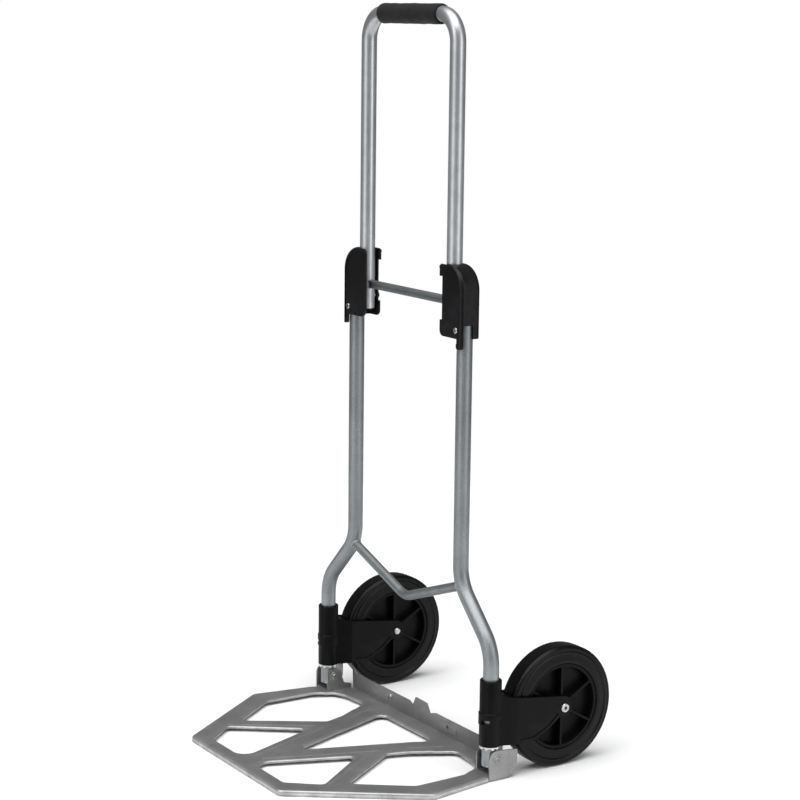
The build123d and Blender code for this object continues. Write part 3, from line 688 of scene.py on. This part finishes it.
def sharp_loops(node_name, sign):
    """Loops of sharp edges at the +X or -X end of a CAD node, longest first."""
    bm = welded(node_name)
    reach = max(v.co.x for v in bm.verts) - END_LENGTH
    edges = [e for e in bm.edges if len(e.link_faces) == 2 and e.calc_face_angle(0) > SHARP
             and all(sign * v.co.x > reach for v in e.verts)]
    co = {v.index: v.co.copy() for v in bm.verts}
    chained = chain([(e.verts[0].index, e.verts[1].index) for e in edges])
    loops = [[co[i] for i in loop] for loop in chained]
    bm.free()
    loops.sort(key=length_of, reverse=True)
    return loops


WELD_STEP = 0.7 * MM        # between the rings of points along a bead
WELD_SIDES = 10


def weld_bead(name, loop, radius, body, seed):
    """A bead of weld round a closed loop, with a fine ripple and a slow one."""
    loop = resample(loop, WELD_STEP)
    centre = sum(loop, Vector()) / len(loop)
    draw = random.Random(seed)
    phase = draw.random() * 6
    points, faces = [], []
    for i, here in enumerate(loop):
        way = (loop[(i + 1) % len(loop)] - loop[i - 1]).normalized()
        out = here - centre
        out = (out - way * out.dot(way)).normalized()
        side = way.cross(out)
        ripple = 1 + 0.13 * math.sin(i * 2.0 + phase) + 0.10 * math.sin(i * 0.53 + phase * 2)
        for k in range(WELD_SIDES):
            a = 2 * math.pi * k / WELD_SIDES
            points.append(here + (out * math.cos(a) + side * math.sin(a)) * radius * ripple)
    count = len(loop)
    for i in range(count):
        j = (i + 1) % count
        here, there = i * WELD_SIDES, j * WELD_SIDES
        for k in range(WELD_SIDES):
            m = (k + 1) % WELD_SIDES
            faces.append((here + k, here + m, there + m, there + k))
    mesh = mesh_from(name, points, faces, math.radians(80))
    dress(link(name, mesh), WELD, body)


def end_loops(node_name):
    """The longest sharp loop at each end of a piece that runs across the cart."""
    return {name: sharp_loops(node_name, sign)[0] for name, sign in SIDES}


for side_name, loop in end_loops("v_brace").items():
    weld_bead(f"brace_weld_{side_name}", loop, 1.5 * MM, "frame", 3)
for side_name, loop in end_loops("handle_crossbar").items():
    weld_bead(f"crossbar_weld_{side_name}", loop, 1.1 * MM, "handle", 5)


# ---------------------------------------------------------------- floor, light and camera

FLOOR_R = 1.6
FLOOR_SIDES = 96


def floor():
    """A round white floor. It ends where the backdrop, just as white, takes over."""
    angles = [2 * math.pi * i / FLOOR_SIDES for i in range(FLOOR_SIDES)]
    points = [Vector((0, 0, 0))]
    points += [Vector((FLOOR_R * math.cos(a), FLOOR_R * math.sin(a), 0)) for a in angles]
    faces = [(0, i, i % FLOOR_SIDES + 1) for i in range(1, FLOOR_SIDES + 1)]
    piece = link("floor", mesh_from("floor", points, faces))
    material, tree, shader = new_material("pale studio floor")
    tone = ramp(tree, cloud(tree, place(tree), 1.5), [(0.3, 0.86), (0.7, 0.88)])
    tree.links.new(tone, shader.inputs["Base Color"])
    shader.inputs["Roughness"].default_value = 0.8
    shader.inputs["Specular IOR Level"].default_value = 0.1
    piece.data.materials.append(material)


# Tall light panels round the cart, as (azimuth in degrees, half width in degrees, strength).
PANELS = [(6, 16, 1.15), (108, 16, 1.15)]
PANEL_EDGE = 9              # degrees over which a panel fades, each side of its edge
ROOM_LIGHT = 0.17


def surroundings():
    """White where it is seen behind the cart; to the cart itself, a dim room with tall panels."""
    world = bpy.data.worlds.new("studio")
    bpy.context.scene.world = world
    world.use_nodes = True
    tree = world.node_tree
    seen = tree.nodes["Background"]
    seen.inputs["Color"].default_value = (1, 1, 1, 1)
    seen.inputs["Strength"].default_value = 1.0
    lighting = node(tree, "ShaderNodeBackground", Color=(0.98, 0.99, 1.0, 1))
    coords = node(tree, "ShaderNodeTexCoord")
    flat = node(tree, "ShaderNodeVectorMath", operation="MULTIPLY")
    flat.inputs[1].default_value = (1, 1, 0)
    tree.links.new(coords.outputs["Generated"], flat.inputs[0])
    way = node(tree, "ShaderNodeVectorMath", operation="NORMALIZE")
    tree.links.new(flat.outputs["Vector"], way.inputs[0])
    strength = None
    for azimuth, half, power in PANELS:
        angle = math.radians(azimuth)
        facing = node(tree, "ShaderNodeVectorMath", operation="DOT_PRODUCT")
        facing.inputs[1].default_value = (math.sin(angle), -math.cos(angle), 0)
        tree.links.new(way.outputs["Vector"], facing.inputs[0])
        edge = math.cos(math.radians(half + PANEL_EDGE))
        core = math.cos(math.radians(half - PANEL_EDGE))
        panel = node(tree, "ShaderNodeMapRange", interpolation_type="SMOOTHSTEP")
        for key, value in (("From Min", edge), ("From Max", core), ("To Min", 0.0), ("To Max", power)):
            panel.inputs[key].default_value = value
        tree.links.new(facing.outputs["Value"], panel.inputs["Value"])
        total = node(tree, "ShaderNodeMath", operation="ADD")
        total.inputs[0].default_value = ROOM_LIGHT
        if strength:
            tree.links.new(strength, total.inputs[0])
        tree.links.new(panel.outputs["Result"], total.inputs[1])
        strength = total.outputs["Value"]
    tree.links.new(strength, lighting.inputs["Strength"])
    path = node(tree, "ShaderNodeLightPath")
    both = node(tree, "ShaderNodeMixShader")
    tree.links.new(path.outputs["Is Camera Ray"], both.inputs["Fac"])
    tree.links.new(lighting.outputs["Background"], both.inputs[1])
    tree.links.new(seen.outputs["Background"], both.inputs[2])
    tree.links.new(both.outputs["Shader"], tree.nodes["World Output"].inputs["Surface"])


def softbox(name, spot, target, size, power):
    lamp = bpy.data.lights.new(name, "AREA")
    lamp.shape = "RECTANGLE"
    lamp.size, lamp.size_y = size
    lamp.energy = power
    holder = bpy.data.objects.new(name, lamp)
    bpy.context.scene.collection.objects.link(holder)
    holder.location = spot
    holder.rotation_mode = "QUATERNION"
    holder.rotation_quaternion = (Vector(target) - Vector(spot)).to_track_quat("-Z", "Y")


def soft_sun(direction, strength):
    """An even overhead light, so that the floor is equally pale everywhere."""
    lamp = bpy.data.lights.new("overhead light", "SUN")
    lamp.energy = strength
    lamp.angle = math.radians(70)
    holder = bpy.data.objects.new("overhead light", lamp)
    bpy.context.scene.collection.objects.link(holder)
    holder.rotation_mode = "QUATERNION"
    holder.rotation_quaternion = (-Vector(direction)).to_track_quat("-Z", "Y")


def camera():
    """The view that the cart is judged from. Azimuth 0 looks along +Y."""
    azimuth, pitch, roll = math.radians(56.83), math.radians(10.46), math.radians(0.664)
    spot = Vector((2.3355, -1.4992, 0.9886))
    ahead = Vector((-math.sin(azimuth) * math.cos(pitch), math.cos(azimuth) * math.cos(pitch),
                    -math.sin(pitch)))
    level = Vector((math.cos(azimuth), math.sin(azimuth), 0))
    raised = level.cross(ahead)
    right = level * math.cos(roll) + raised * math.sin(roll)
    up = raised * math.cos(roll) - level * math.sin(roll)
    data = bpy.data.cameras.new("camera")
    data.lens, data.sensor_width = 94.36, 36.0
    holder = bpy.data.objects.new("camera", data)
    bpy.context.scene.collection.objects.link(holder)
    turn = Matrix((right, up, -ahead)).transposed().to_4x4()
    holder.matrix_world = Matrix.Translation(spot) @ turn
    bpy.context.scene.camera = holder


floor()
surroundings()
soft_sun((0.15, -0.25, 1.0), 2.9)
softbox("key light", (0.3, -2.8, 2.0), (0, 0, 0.5), (0.8, 1.4), 8)
softbox("side strip", (2.8, 0.9, 1.3), (0, 0, 0.5), (0.25, 1.2), 6)
camera()
bpy.context.scene.view_settings.view_transform = "Standard"
